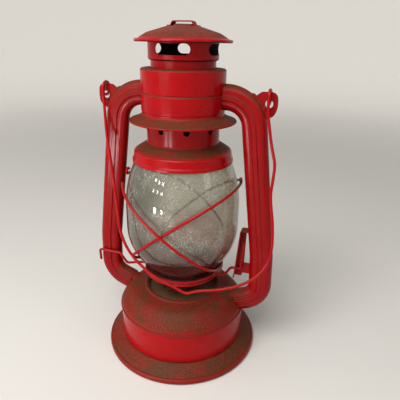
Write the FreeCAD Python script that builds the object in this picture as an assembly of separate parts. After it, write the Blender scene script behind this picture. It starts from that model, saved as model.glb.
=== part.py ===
import FreeCAD, Part
import math
import os
from FreeCAD import Vector

# Tubular kerosene lantern, in millimetres. +Z is up, X runs through the two air tubes with
# the lift bracket on the +X tube, the front is -Y, and Z = 0 is the surface under the foot.
# Azimuths are degrees from the front towards +X.

# Stock and clearances
sheet = 0.8                 # sheet steel of the pressings
wire = 2.5                  # bail, guard and carrier wire
glass = 2.2                 # wall of the globe
seat_gap = 0.12             # between pieces that are pressed or soldered together
play = 0.3                  # between pieces that move past each other
running = 0.06              # radial gap of the wick shaft in its hole

# Foot and fount
foot_r = 73.6               # outside of the rolled foot bead
foot_bead_h = 5.0
foot_bead_w = 4.4
foot_bead_round = 1.9
foot_h = 12.6               # underside of the fount
foot_flange = 8.0           # foot's flange under the fount
band_r = 60.2
band_h = 28.6
band_round = 1.5
seam_bead_r = 0.9           # bead between band and dome
dome_h = 19.0
dome_shoulder_in = 10.5     # shoulder of the dome inside the band
dome_shoulder_drop = 2.6
dome_shoulder_round = 14.0
throat_r = 33.6             # burner opening in the dome
throat_depth = 7.0
ridge_w = 2.8               # pressed ridge round the opening
ridge_h = 1.7
ridge_round = 1.2
lid_drop = 0.6              # tank lid under the seam
lid_rim_h = 3.4

# Filler on the back of the dome
filler_az = 205.0
filler_tilt = 30.0          # leaning outwards
filler_in = 11.2            # filler inside the band
filler_neck_r = 8.0
filler_neck_wall = 1.2
filler_neck_up = 6.0        # neck above the dome
filler_cap_r = 11.5
filler_cap_h = 7.0
filler_cap_round = 1.0
filler_grips = 16
filler_grip_r = 1.1
gasket_t = 1.6
gasket_w = 3.0

# Globe and its carrier
ring_r = 35.0               # middle of the carrier ring
ring_up = 18.0              # middle of the carrier ring above the dome
plate_seat = 6.8            # edge of the plate's hole inside the foot of the glass
plate_rim_h = 3.4
plate_vents = 16
plate_vent_r = 1.2
globe_base_r = 30.0
globe_belly_r = 51.6
globe_top_r = 39.2
globe_h = 116.0
globe_rim_h = 2.5           # upright rim at each end of the glass
globe_rim_round = 4.0
globe_low_corner = 23.5     # where the lower cone would meet the belly
globe_low_round = 50.0
globe_high_corner = 84.0    # where the upper cone would meet the belly
globe_high_round = 100.0
guard_az = 88.0             # high side of a guard wire
guard_high = 88.0           # highest and lowest place of a guard wire above the globe's base
guard_low = 2.5
guard_bow = 8.0             # rise of the wire at front and back
guard_off = 1.0             # guard wire from the glass
guard_cross = 2.8           # more for the outer wire where the two cross
guard_steps = 20
guard_open = 14.0           # degrees between the ends of a guard wire
guard_curl_r = 2.8

# Chimney
cap_over = 4.7              # bead of the globe cap beyond the top of the glass
cap_bead_h = 3.4
cap_bead_round = 1.2
cap_groove = 1.0            # step in above the bead
cap_groove_round = 0.6
cap_band_h = 5.9            # band from the bead to the shoulder
cap_shoulder_over = 3.0     # shoulder beyond the top of the glass
cap_shoulder_round = 2.0
neck_r = 31.0
neck_rise = 7.0             # cone from shoulder to neck
neck_h = 32.0
neck_round = 1.2
neck_vents = 9
neck_vent_az = 24.0
neck_vent_r = 2.5
neck_vent_up = 12.8
flue_in = 4.4               # flue inside the neck
flue_dip = 14.0             # flue below the top of the neck
crown_over = 2.1            # crown beyond the flue
crown_h = 13.2
crown_up = 6.0              # crown above the hood
crown_round = 1.8
crown_windows = 4
crown_window_deg = 58.0
crown_window_h = 8.2
crown_window_round = 4.0
crown_sill = 4.3
smoke_cap_over = 10.7       # smoke cap beyond the crown
smoke_cap_h = 11.8          # up to the ledge of the lift loop
smoke_cap_bead_r = 1.3
smoke_fold_h = 7.0          # where the cone grows flatter, over the crown
smoke_fold_round = 15.0
smoke_ledge_r = 13.4
smoke_ledge_round = 2.5
smoke_boss_r = 7.2
smoke_boss_h = 1.6
loop_len = 15.4
loop_foot = 25.0            # length over the feet
loop_gap = 3.2
loop_w = 9.0
loop_round = 1.2

# Hood
hood_gap = 4.2              # between the neck and the hood
hood_h = 42.8
hood_up = 23.6              # rim above the globe
hood_flare_w = 10.2
hood_rim_bead_r = 0.9
hood_waist_in = 1.0
hood_flare_h = 6.6
hood_waist_h = 3.0
hood_groove_up = 23.5
hood_groove_w = 2.2
hood_groove_d = 0.6
hood_round = 2.0
dimple_az = 43.0
dimple_up = 15.5
dimple_r = 1.8
dimple_d = 0.5
spring_wire = 1.6
spring_turns = 4

# Air tubes
tube_w = 21.0               # section across the lantern
tube_t = 12.5               # section from front to back
tube_wall = 0.9
tube_bead_w = 5.0           # pressed bead on the front and back
tube_bead_h = 0.9
tube_top_out = 23.3         # upper corner of the middle line from the hood
tube_top_round = 24.0
tube_knee_out = 23.9        # knee of the middle line from the belly of the globe
tube_knee_drop = 138.5
tube_knee_round = 60.0
tube_low_out = 16.6         # lower corner of the middle line from the band
tube_low_round = 20.0
tube_top_up = 21.6          # top run above the hood's rim
tube_low_drop = 0.2         # lower corner under the top of the dome
tube_fall = 22.0            # slope of the low run into the dome
tube_reach = 4.0            # middle line goes on inside the hood and the dome

# Bail and ears
ear_out = 13.0              # hole from the tube's upper corner
ear_t = 1.5
ear_hole_r = 3.2
ear_edge = 6.4              # plate beyond the middle of the hole
ear_top = 9.2
ear_low = 11.0
ear_round = 5.0
ear_hole_drop = 3.4         # hole below the top run of the tube
bail_eye_turn = 290.0
bail_kink_round = 6.0       # where the bail hangs from a hook
# Route from the left ear to the right: shares of the ear's x, the foot's radius and the eye's height
bail_route = [
    (-0.9231, -0.1970, 0.8458), (-0.8042, -0.3329, 0.7432), (-0.6853, -0.4688, 0.6323),
    (-0.5944, -0.5910, 0.5297), (-0.4755, -0.6590, 0.4763), (-0.3357, -0.6929, 0.4373),
    (-0.1259, -0.7133, 0.3942), (0.0839, -0.7201, 0.3736), (0.3007, -0.7201, 0.3490, bail_kink_round),
    (0.4336, -0.7133, 0.3675), (0.6993, -0.6793, 0.3819), (0.9091, -0.6250, 0.4003),
    (1.0769, -0.5299, 0.4250), (1.1818, -0.4212, 0.4599), (1.2112, -0.3329, 0.5091),
    (1.1888, -0.2514, 0.5831), (1.1189, -0.1698, 0.6816), (1.1301, -0.1359, 0.7391),
    (1.1371, -0.1196, 0.7884), (1.0713, -0.1033, 0.8541)]

# Burner and wick
burner_az = 115.0           # direction of the wick shaft
burner_r = 17.5
burner_neck_r = 13.5
burner_neck_low = 3.0       # burner's neck under the tank lid
burner_step_up = 2.5        # step of the burner above the dome
burner_step_h = 4.0
burner_round = 2.0
burner_edge = 1.0           # edges of the gallery, the cone and the vent plate
gallery_in = 1.8            # gallery inside the hole of the globe plate
gallery_up = 24.0           # gallery above the dome
gallery_flare = 4.5
gallery_lip = 2.6
cone_h = 6.5
cone_top_r = 11.0
cone_round = 5.0
wick_w = 15.0
wick_t = 2.8
wick_slide = 0.3            # wick in its tube
wick_foot_up = 8.0          # wick above the tank's floor
wick_tube_up = 31.0         # tube above the dome
wick_over_tube = 1.5
flame_slot = 1.8            # slot in the cone beyond the wick
shaft_r = 1.5
shaft_fall = 18.0
shaft_tail = 9.5            # shaft beyond the burner's middle
spur_r = 3.6
spur_tooth = 1.1
spur_t = 1.4
spur_teeth = 10
spur_apart = 8.0
spur_bite = 0.2             # gap between spur tips and wick
knob_r = 9.2
knob_t = 2.6
knob_round = 0.8
knob_out = 2.0              # middle of the knob outside the carrier ring
knob_up = 12.0              # middle of the knob above the dome
knob_hub_r = 3.4
knob_hub_h = 3.0
knob_grips = 18
knob_grip_r = 0.9
vent_plate_drop = 3.5
vent_plate_holes = 14
vent_plate_hole_r = 1.2
vent_plate_hole_out = 0.5   # holes beyond the side of the burner

# Lift bracket inside the right tube, and the carrier's arms
bracket_w = 8.0
bracket_t = 1.2
bracket_h = 50.0
bracket_off = 13.5          # strap from the tube
bracket_top = 6.5           # run at the top
bracket_web = 7.5           # web along the strap's back edge
bracket_web_top = 5.0
bracket_nub = 8.0           # strap below its knee
bracket_tab_up = 3.5
bracket_tab_h = 10.7
bracket_slot_h = 17.0
bracket_slot_side = 0.5     # slot beside the arm
arm_rise = 10.0             # step of the arms up to the tubes
arm_bend = 4.0
arm_leg = 28.0
arm_leg_off = 5.2           # leg from the strap's outer face
arm_leg_lean = 2.0

# Places that follow from the sizes
tank_floor = foot_h + sheet
seam_z = foot_h + band_h
dome_top = seam_z + dome_h
lid_z = seam_z - lid_drop
ring_z = dome_top + ring_up
knob_at_r = ring_r + knob_out
arm_z = ring_z - wire - seat_gap
plate_z = ring_z + wire / 2 + seat_gap
globe_z = plate_z + sheet
globe_top = globe_z + globe_h
plate_hole_r = globe_base_r - plate_seat
gallery_r = plate_hole_r - gallery_in
cap_bead_r = globe_top_r + cap_over
cap_shoulder_r = globe_top_r + cap_shoulder_over
flue_r = neck_r - flue_in
crown_r = flue_r + crown_over
smoke_cap_r = crown_r + smoke_cap_over
hood_r = neck_r + hood_gap
hood_rim_r = hood_r + hood_flare_w
cap_slope = math.atan2(neck_rise, cap_shoulder_r - neck_r)
cap_seat = play + sheet / math.cos(cap_slope)
cap_shoulder_z = globe_top + cap_seat - (cap_shoulder_r - globe_top_r) * math.tan(cap_slope)
cap_low = cap_shoulder_z - cap_band_h - cap_bead_h
neck_foot = cap_shoulder_z + neck_rise
neck_top = neck_foot + neck_h
hood_rim = globe_top + hood_up
hood_top = hood_rim + hood_h
crown_z = hood_top + crown_up
smoke_z = crown_z + crown_h
smoke_ledge = smoke_z + smoke_cap_h
tube_top_x = hood_r + tube_top_out
tube_knee_x = globe_belly_r + tube_knee_out
tube_low_x = band_r + tube_low_out
tube_top_z = hood_rim + tube_top_up
tube_knee_z = tube_top_z - tube_knee_drop
tube_low_z = dome_top - tube_low_drop
tube_front = tube_t / 2 + tube_bead_h
ear_x = tube_top_x + ear_out
ear_hole_z = tube_top_z - ear_hole_drop
bail_eye_r = (ear_top + play + wire / 2) / 2    # the eye passes through the hole and over the ear
eye_z = ear_hole_z + bail_eye_r
gallery_z = dome_top + gallery_up
cone_z = gallery_z + gallery_flare + gallery_lip
burner_low = lid_z - burner_neck_low
origin = Vector(0, 0, 0)
upright = Vector(0, 0, 1)


def around(az, radius=1.0, z=0.0):
    """Point at an azimuth and a radius."""
    angle = math.radians(az)
    return Vector(radius * math.sin(angle), -radius * math.cos(angle), z)


def arc(start, corner, end):
    """Arc that touches the lines from start to corner and from corner to end, equally long."""
    into = (corner - start).normalize()
    out = (end - corner).normalize()
    depth = (corner - start).Length * math.tan(into.getAngle(out) / 4)
    return Part.Arc(start, corner + (out - into).normalize() * depth, end).toShape()


def bent(points):
    """Edges of straight runs with tangent arcs. A point is (x, y, z) or (x, y, z, round); without
    a round the arc takes 0.45 of the shorter run beside it, and a round of 0 keeps the corner."""
    places = [Vector(*p[:3]) for p in points]
    edges = []
    here = places[0]
    for i in range(1, len(places) - 1):
        corner = places[i]
        before = corner - places[i - 1]
        after = places[i + 1] - corner
        reach = 0.45 * min(before.Length, after.Length)
        if len(points[i]) > 3:
            reach = points[i][3] * math.tan(before.getAngle(after) / 2)
        start = corner - before.normalize() * reach
        end = corner + after.normalize() * reach
        edges.append(Part.makeLine(here, start))
        if reach > 0:
            edges.append(arc(start, corner, end))
        here = end
    edges.append(Part.makeLine(here, places[-1]))
    return edges


def profile(points):
    """Wire in the XZ plane from (r, z) or (r, z, round); a corner without a round stays sharp."""
    return Part.Wire(bent([(p[0], 0, p[1], p[2] if len(p) > 2 else 0) for p in points]))


def turned(face):
    return face.revolve(origin, upright, 360)


def skin(points, wall=sheet):
    """Turned pressing whose face follows the points, with its wall on their left."""
    return turned(profile(points).makeOffset2D(wall, 0, True, True, False))


def lathe(points):
    """Solid of revolution from a closed section that starts half way along its last straight edge."""
    first = points[0]
    last = points[-1]
    start = ((first[0] + last[0]) / 2, (first[1] + last[1]) / 2)
    return turned(Part.Face(profile([start] + list(points) + [start])))


def rod(edges, diameter=wire):
    """Round wire along a path."""
    first = edges[0]
    section = Part.makeCircle(diameter / 2, first.valueAt(first.FirstParameter),
                              first.tangentAt(first.FirstParameter))
    return Part.Wire(edges).makePipeShell([Part.Wire(section)], True, False)


def bar(start, end, radius):
    return Part.makeCylinder(radius, (end - start).Length, start, end - start)


def flat_bar(width, thickness, low, high):
    """Upright bar with round edges, its width along the wick shaft's azimuth."""
    side = (width - thickness) / 2
    half = thickness / 2
    section = Part.Wire([Part.makeLine(Vector(-side, -half, low), Vector(side, -half, low)),
                         Part.Arc(Vector(side, -half, low), Vector(side + half, 0, low),
                                  Vector(side, half, low)).toShape(),
                         Part.makeLine(Vector(side, half, low), Vector(-side, half, low)),
                         Part.Arc(Vector(-side, half, low), Vector(-side - half, 0, low),
                                  Vector(-side, -half, low)).toShape()])
    solid = Part.Face(section).extrude(Vector(0, 0, high - low))
    solid.rotate(origin, upright, burner_az - 90)
    return solid


def pattern(tool, count, first=0.0):
    """Copies of a tool, evenly round the axis."""
    copies = []
    for i in range(count):
        copy = tool.copy()
        copy.rotate(origin, upright, first + i * 360 / count)
        copies.append(copy)
    return Part.makeCompound(copies)


def mirrored(shape):
    return shape.mirror(origin, Vector(1, 0, 0))


def main_solid(shape):
    """The piece that a cut leaves, without its offcuts."""
    return max(shape.Solids, key=lambda solid: solid.Volume)


# Air tubes

def tube_path():
    """Middle line of the right tube: out of the hood, down beside the globe, in under the dome."""
    end_x = throat_r + 2 * tube_reach
    end_z = tube_low_z - (tube_low_x - end_x) * math.tan(math.radians(tube_fall))
    return [(hood_r - tube_reach, 0, tube_top_z), (tube_top_x, 0, tube_top_z, tube_top_round),
            (tube_knee_x, 0, tube_knee_z, tube_knee_round), (tube_low_x, 0, tube_low_z, tube_low_round),
            (end_x, 0, end_z)]


def tube_sweep(grow, bead):
    """Oval tube along the middle line, larger all round by grow, with its beads if wanted."""
    x = hood_r - tube_reach
    side = (tube_w - tube_t) / 2
    half = tube_t / 2 + grow
    edges = []
    for face in (-1, 1):
        line = [(half, side), (half, -side)]
        if bead:
            crest = half + tube_bead_h
            line[1:1] = [(half, tube_bead_w / 2), (crest, tube_bead_w / 2 - tube_bead_h),
                         (crest, tube_bead_h - tube_bead_w / 2), (half, -tube_bead_w / 2)]
        places = [Vector(x, face * y, tube_top_z + face * z) for y, z in line]
        edges += [Part.makeLine(a, b) for a, b in zip(places, places[1:])]
        edges.append(Part.Arc(places[-1], Vector(x, 0, tube_top_z - face * (side + half)),
                              Vector(x, -face * half, tube_top_z - face * side)).toShape())
    return Part.Wire(bent(tube_path())).makePipeShell([Part.Wire(edges)], True, False)


tube_outside = tube_sweep(0.0, True)
tube_space = tube_sweep(seat_gap, True)
tube_bore = tube_sweep(-tube_wall, False)
tube_bores = [tube_bore, mirrored(tube_bore)]


def air_tube():
    """Right tube, its ends cut to the hood's wall and to the fount."""
    hood_space = Part.makeCylinder(hood_r + seat_gap, hood_h, Vector(0, 0, hood_rim))
    return main_solid(tube_outside.cut([tube_bore, hood_space, fount_space()]))


def tube_inner_x(z):
    """Inner face of the right tube beside the globe."""
    if z > tube_knee_z:
        middle = tube_knee_x + (tube_top_x - tube_knee_x) * (z - tube_knee_z) / tube_knee_drop
    else:
        middle = tube_low_x + (tube_knee_x - tube_low_x) * (z - tube_low_z) / (tube_knee_z - tube_low_z)
    return middle - tube_w / 2


# Filler

filler_lean = math.radians(filler_tilt)
filler_axis = around(filler_az, math.sin(filler_lean), math.cos(filler_lean))
filler_seat = around(filler_az, band_r - filler_in, dome_top - dome_shoulder_drop - sheet)
filler_low = (lid_z - filler_neck_r - filler_seat.z) / math.cos(filler_lean)
filler_mouth = filler_neck_up + play / 2
filler_crown = filler_mouth + gasket_t + play / 2


def filler_bar(radius, low, high):
    return bar(filler_seat + filler_axis * low, filler_seat + filler_axis * high, radius)


filler_hole = filler_bar(filler_neck_r + seat_gap, 2 * filler_low, filler_neck_up)


def filler_neck():
    bore = filler_bar(filler_neck_r - filler_neck_wall, 2 * filler_low, 2 * filler_neck_up)
    return main_solid(filler_bar(filler_neck_r, filler_low, filler_neck_up).cut(bore))


def filler_gasket():
    washer = filler_bar(filler_neck_r, filler_mouth, filler_mouth + gasket_t)
    return main_solid(washer.cut(filler_bar(filler_neck_r - gasket_w, 0, 2 * filler_crown)))


def filler_cap():
    """Screw cap over the neck, with a gripped rim."""
    top = filler_crown + filler_neck_wall
    low = top - filler_cap_h
    cap = filler_bar(filler_cap_r, low, top)
    rim = max(cap.Edges, key=lambda edge: (edge.CenterOfMass - filler_seat).dot(filler_axis))
    cap = cap.makeFillet(filler_cap_round, [rim])
    side = filler_axis.cross(upright).normalize() * (filler_cap_r + filler_grip_r / 3)
    cuts = [filler_bar(filler_neck_r + play, low - play, filler_crown)]
    for i in range(filler_grips):
        grip = filler_bar(filler_grip_r, low - play, top - filler_cap_round)
        grip.translate(FreeCAD.Rotation(filler_axis, i * 360 / filler_grips).multVec(side))
        cuts.append(grip)
    return main_solid(cap.cut(cuts))


# Foot and fount

def foot_ring():
    inner = foot_r - foot_bead_w
    bead = lathe([(inner, 0, foot_bead_round), (foot_r, 0, foot_bead_round),
                  (foot_r, foot_bead_h, foot_bead_round), (inner, foot_bead_h, foot_bead_round)])
    skirt = skin([(inner + foot_bead_w / 2, foot_bead_h - sheet / 2),
                  (inner, foot_bead_h + foot_bead_round, foot_bead_round),
                  (band_r + sheet / 2, foot_h, band_round), (band_r - foot_flange, foot_h)])
    return main_solid(bead.fuse(skirt))


def fount_cup():
    return skin([(0, foot_h), (band_r, foot_h, band_round), (band_r, seam_z)])


def dome_points(grow=0.0):
    """Outside of the dome from the seam to the throat, or that line moved out and up."""
    ridge_out = throat_r + ridge_w
    crest = dome_top + ridge_h
    points = [(band_r, seam_z), (band_r, seam_z + dome_h / 4, dome_shoulder_in),
              (band_r - dome_shoulder_in, dome_top - dome_shoulder_drop, dome_shoulder_round),
              (ridge_out + sheet, dome_top, sheet), (ridge_out, crest, ridge_round),
              (throat_r, crest, ridge_round)]
    return [(p[0] + grow, p[1] + grow) + p[2:] for p in points]


def seam_bead(grow=0.0):
    return Part.makeTorus(band_r, seam_bead_r + grow, Vector(0, 0, seam_z + seam_bead_r))


def fount_space():
    """Fount and seam bead as one block, larger by a seat's gap, to cut what stands on it."""
    line = dome_points(seat_gap)
    floor = [(0, tank_floor), (line[0][0], tank_floor)]
    block = turned(Part.Face(profile(floor + line + [(0, line[-1][1]), (0, tank_floor)])))
    return block.fuse(seam_bead(seat_gap))


def fount_dome():
    inside = Part.makeCylinder(band_r - sheet, dome_h, Vector(0, 0, seam_z))
    shell = skin(dome_points() + [(throat_r, dome_top - throat_depth)])
    return main_solid(shell.fuse(seam_bead().cut(inside)).cut(tube_bores + [filler_hole]))


def tank_lid():
    rim = band_r - sheet - seat_gap
    collar = burner_neck_r + seat_gap
    lid = skin([(rim, lid_z - lid_rim_h), (rim, lid_z, band_round), (collar, lid_z, band_round),
                (collar, lid_z - lid_rim_h)])
    return main_solid(lid.cut(filler_hole))


# Hood and chimney

def hood():
    rim = hood_rim_r - hood_rim_bead_r
    bead_z = hood_rim + hood_rim_bead_r
    flare = hood_rim + hood_flare_h
    groove = hood_rim + hood_groove_up
    half = hood_groove_w / 2
    shell = skin([(rim, bead_z), (hood_r - hood_waist_in, flare, hood_waist_h),
                  (hood_r, flare + hood_waist_h, hood_round), (hood_r, groove - half),
                  (hood_r - hood_groove_d, groove), (hood_r, groove + half),
                  (hood_r, hood_top, hood_round), (flue_r + play, hood_top)])
    bead = Part.makeTorus(rim, hood_rim_bead_r, Vector(0, 0, bead_z))
    dimple = Part.makeSphere(dimple_r, around(dimple_az, hood_r + dimple_r - dimple_d, hood_rim + dimple_up))
    return main_solid(shell.fuse(bead).cut(tube_bores + [dimple]))


def chimney_spring():
    """Coil round the flue between the neck and the hood, two tangent arcs for each quarter turn."""
    low = neck_top + play + spring_wire / 2
    high = hood_top - sheet - play - spring_wire / 2
    radius = (flue_r + neck_r) / 2
    pitch = (high - low) / spring_turns

    def place(quarter):
        return around(90 * quarter, radius, low + pitch * quarter / 4)

    def heading(quarter):
        return around(90 * quarter + 90, 2 * math.pi * radius, pitch).normalize()

    edges = []
    for i in range(4 * spring_turns):
        chord = place(i + 1) - place(i)
        lead = heading(i)
        trail = heading(i + 1)
        along = chord.dot(lead + trail)
        bow = 2 * (1 - lead.dot(trail))
        reach = (math.sqrt(along ** 2 + bow * chord.dot(chord)) - along) / bow
        first = place(i) + lead * reach
        second = place(i + 1) - trail * reach
        middle = (first + second) / 2
        edges += [arc(place(i), first, middle), arc(middle, second, place(i + 1))]
    print("chimney spring: least gap between turns %.2f mm" % (pitch - spring_wire))
    return rod(edges, spring_wire)


def globe_cap():
    """Bell on the globe: beaded skirt, cone, and a vented neck with a turned-in top."""
    groove_z = cap_low + cap_bead_h
    shell = skin([(cap_bead_r, cap_low), (cap_bead_r, groove_z - cap_groove, cap_bead_round),
                  (cap_bead_r - cap_groove, groove_z, cap_groove_round),
                  (cap_shoulder_r, cap_shoulder_z, cap_shoulder_round),
                  (neck_r, neck_foot, 2 * neck_round), (neck_r, neck_top, neck_round),
                  (flue_r + seat_gap, neck_top)])
    vent_z = neck_foot + neck_vent_up
    vent = bar(Vector(0, 0, vent_z), Vector(0, -2 * neck_r, vent_z), neck_vent_r)
    return main_solid(shell.cut(pattern(vent, neck_vents, neck_vent_az)))


def flue_tube():
    low = neck_top - flue_dip
    high = crown_z + 2 * sheet
    return lathe([(flue_r - sheet, low), (flue_r, low), (flue_r, high), (flue_r - sheet, high)])


def vent_crown():
    """Drum round the flue's mouth with rounded windows, its foot turned in to the flue."""
    shell = skin([(flue_r + seat_gap, crown_z), (crown_r, crown_z, crown_round), (crown_r, smoke_z)])
    low = crown_z + crown_sill
    high = low + crown_window_h
    half = crown_r * math.sin(math.radians(crown_window_deg / 2))
    corner = crown_window_round
    frame = profile([(0, low), (half, low, corner), (half, high, corner), (-half, high, corner),
                     (-half, low, corner), (0, low)])
    window = Part.Face(frame).extrude(Vector(0, -2 * crown_r, 0))
    return main_solid(shell.cut(pattern(window, crown_windows)))


def smoke_cap():
    """Shallow cone, flatter over the crown, with a rolled edge, a collar on the crown and a boss."""
    edge_r = smoke_cap_r - smoke_cap_bead_r
    edge_z = smoke_z + smoke_cap_bead_r
    collar_r = crown_r + sheet
    fold_z = smoke_z + smoke_fold_h
    boss_z = smoke_ledge + smoke_boss_h
    cone = skin([(edge_r, edge_z + sheet / 2), (collar_r, fold_z, smoke_fold_round),
                 (smoke_ledge_r, smoke_ledge, smoke_ledge_round),
                 (smoke_boss_r + smoke_boss_h, smoke_ledge, loop_round),
                 (smoke_boss_r, boss_z, loop_round), (0, boss_z)])
    collar_top = fold_z - sheet / 2
    collar = lathe([(crown_r - 2 * sheet, smoke_z), (collar_r, smoke_z), (collar_r, collar_top),
                    (crown_r - 2 * sheet, collar_top)])
    bead = Part.makeTorus(edge_r, smoke_cap_bead_r, Vector(0, 0, edge_z))
    return main_solid(cone.fuse([collar, bead]))


def lift_loop():
    """Strap bridge on the smoke cap."""
    top = smoke_ledge + loop_gap
    half = loop_len / 2
    leg = half + loop_gap / 2
    line = profile([(-loop_foot / 2, smoke_ledge), (-leg, smoke_ledge, loop_round),
                    (-half, top, loop_round), (half, top, loop_round),
                    (leg, smoke_ledge, loop_round), (loop_foot / 2, smoke_ledge)])
    strap = line.makeOffset2D(sheet, 0, True, True, False).extrude(Vector(0, loop_w, 0))
    strap.translate(Vector(0, -loop_w / 2, 0))
    return strap


# Globe and its carrier

def globe_points():
    return [(globe_base_r, globe_z), (globe_base_r, globe_z + globe_rim_h, globe_rim_round),
            (globe_belly_r, globe_z + globe_low_corner, globe_low_round),
            (globe_belly_r, globe_z + globe_high_corner, globe_high_round),
            (globe_top_r, globe_top - globe_rim_h, globe_rim_round), (globe_top_r, globe_top)]


def globe():
    return skin(globe_points(), glass)


def globe_r(z):
    """Outside of the globe at a height, on the straight lines between its corners."""
    corners = globe_points()
    for low, high in zip(corners, corners[1:]):
        if z <= high[1]:
            return low[0] + (high[0] - low[0]) * (z - low[1]) / (high[1] - low[1])
    return globe_top_r


def globe_plate():
    """Seat of the globe: perforated washer with a turned-up rim."""
    rim = ring_r + wire / 2
    plate = skin([(plate_hole_r, plate_z), (rim, plate_z, neck_round), (rim, plate_z + plate_rim_h)])
    vent_at = (plate_hole_r + globe_base_r - glass) / 2
    vent = Part.makeCylinder(plate_vent_r, 2 * wire, around(0, vent_at, ring_z))
    return main_solid(plate.cut(pattern(vent, plate_vents)))


def carrier_ring():
    return Part.makeTorus(ring_r, wire / 2, Vector(0, 0, ring_z))


def guard(high_az, cross):
    """Wire round the globe: curled at its high side, lowest at the other, bowed up between."""
    def place(az):
        turn = math.radians(az - high_az)
        rise = (1 + math.cos(turn)) / 2
        z = globe_z + guard_low + (guard_high - guard_low) * rise + guard_bow * math.sin(turn) ** 2
        off = guard_off + wire / 2 + cross * math.sin(turn) ** 2
        return around(az, max(globe_r(z) + off, ring_r + wire + play), z)

    step = (360 - guard_open) / guard_steps
    strand = [place(high_az - guard_open / 2 - step * i) for i in range(guard_steps)]
    side = around(high_az + 90)
    centre = place(high_az) + (side + upright) * guard_curl_r
    curl = []
    for angle in (150, 100, 50, 0, -50):
        turn = math.radians(angle)
        curl.append(centre + (side * math.cos(turn) + upright * math.sin(turn)) * guard_curl_r)
    return rod(bent([tuple(p) for p in curl + strand]))


def hook_arm():
    """Left arm: from under the ring, across the front of the tube and hooked down past it."""
    front = tube_front + wire / 2 + play
    z = arm_z + arm_rise
    tube_in = tube_inner_x(z)
    tube_out = tube_in + tube_w + wire / 2 + play
    return rod(bent([(wire - ring_r, -wire, arm_z), (-ring_r - 3 * wire, -wire, arm_z, arm_bend),
                     (-tube_in + arm_rise, -front, arm_z, arm_bend), (-tube_in + wire, -front, z, arm_bend),
                     (wire - tube_out, -front, z + wire / 4, arm_bend),
                     (-tube_out, -front + 2 * wire, z - arm_rise - arm_bend)]))


def lift_arm():
    """Right arm: from under the ring up into the bracket's slot, with a leg between strap and tube."""
    z = arm_z + arm_rise
    strap = tube_inner_x(z) - bracket_off
    leg = strap + arm_leg_off
    return rod(bent([(ring_r - wire, 0, arm_z), (strap - arm_rise, 0, arm_z, arm_bend),
                     (strap - arm_bend, 0, z, arm_bend), (leg, 0, z, wire),
                     (leg + arm_leg_lean, 0, z + arm_leg)]))


def lift_bracket():
    """Slotted strap that stands off the right tube, bent back to it at the top, with a web along
    its back edge and a tab from the web to the tube."""
    low = arm_z + wire / 2
    high = low + bracket_h
    knee = low + bracket_nub
    strap = tube_inner_x(knee) - bracket_off
    foot = strap - bracket_t
    top = tube_inner_x(high) - bracket_top
    line = profile([(tube_inner_x(high) + wire, high), (top, high, wire), (strap, knee, arm_rise),
                    (foot, low)])
    body = line.makeOffset2D(bracket_t, 0, True, True, False).extrude(Vector(0, bracket_w, 0))
    web = Part.Face(profile([(foot, low), (foot + bracket_web, low, wire),
                             (strap + bracket_web, knee, arm_rise), (top + bracket_web_top, high),
                             (top, high, wire), (strap, knee, arm_rise), (foot, low)]))
    tab = Part.makeBox(bracket_off + wire, bracket_t, bracket_tab_h,
                       Vector(strap, bracket_w - bracket_t, low + bracket_tab_up))
    web = web.extrude(Vector(0, bracket_t, 0))
    web.translate(Vector(0, bracket_w - bracket_t, 0))
    body = body.fuse([web, tab])
    body.translate(Vector(0, -bracket_w / 2, 0))
    half = wire / 2 + bracket_slot_side
    slot = Part.makeBox(bracket_off, 2 * half, bracket_slot_h,
                        Vector(strap - bracket_off / 2, -half, arm_z + arm_rise - half))
    return main_solid(body.cut([slot, tube_space]))


# Bail

def bail_ear():
    """Right ear: plate on the tube's shoulder with the hole for the bail's eye."""
    top = ear_hole_z + ear_top
    edge = ear_x + ear_edge
    plate = Part.Face(profile([(tube_top_x, ear_hole_z), (tube_top_x, top - ear_round),
                               (ear_x - ear_edge, top, ear_round), (edge, top, ear_round),
                               (edge, ear_hole_z - ear_edge, ear_round),
                               (ear_x, ear_hole_z - ear_low, ear_round),
                               (tube_top_x, ear_hole_z - 2 * ear_low), (tube_top_x, ear_hole_z)]))
    plate = plate.extrude(Vector(0, ear_t, 0))
    plate.translate(Vector(0, -ear_t / 2, 0))
    hole = bar(Vector(ear_x, -ear_t, ear_hole_z), Vector(ear_x, ear_t, ear_hole_z), ear_hole_r)
    return main_solid(plate.cut([tube_space, hole]))


def bail():
    """Carrying bail as it hangs in front, bent out of true by use, with an open eye in each ear."""
    def eye(side, turns):
        places = []
        for turn in turns:
            y = -bail_eye_r * math.cos(math.radians(turn))
            z = bail_eye_r * math.sin(math.radians(turn))
            places.append(Vector(side * ear_x, y, eye_z + z))
        return [Part.Arc(*places[0:3]).toShape(), Part.Arc(*places[2:5]).toShape()]

    quarters = [bail_eye_turn * i / 4 for i in range(5)]
    route = [(x * ear_x, y * foot_r, z * eye_z, *kink) for x, y, z, *kink in bail_route]
    below = eye_z - 2 * bail_eye_r
    leg = [(-ear_x, -bail_eye_r, eye_z), (-ear_x, -bail_eye_r, below)] + route
    leg += [(ear_x, -bail_eye_r, below), (ear_x, -bail_eye_r, eye_z)]
    return rod(eye(-1, quarters[::-1]) + bent(leg) + eye(1, quarters))


# Burner and wick

shaft_lean = math.radians(shaft_fall)
shaft_dir = around(burner_az, math.cos(shaft_lean), -math.sin(shaft_lean))
wick_side = around(burner_az + 90)
spur_off = wick_t / 2 + spur_bite + spur_r
knob_middle = around(burner_az, knob_at_r, dome_top + knob_up) + wick_side * spur_off
shaft_middle = knob_middle - shaft_dir * (knob_at_r / math.cos(shaft_lean))
wick_tube_w = wick_w + 2 * (wick_slide + sheet)
wick_tube_t = wick_t + 2 * (wick_slide + sheet)


def shaft_bar(radius, low, high, middle=shaft_middle):
    return bar(middle + shaft_dir * low, middle + shaft_dir * high, radius)


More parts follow.
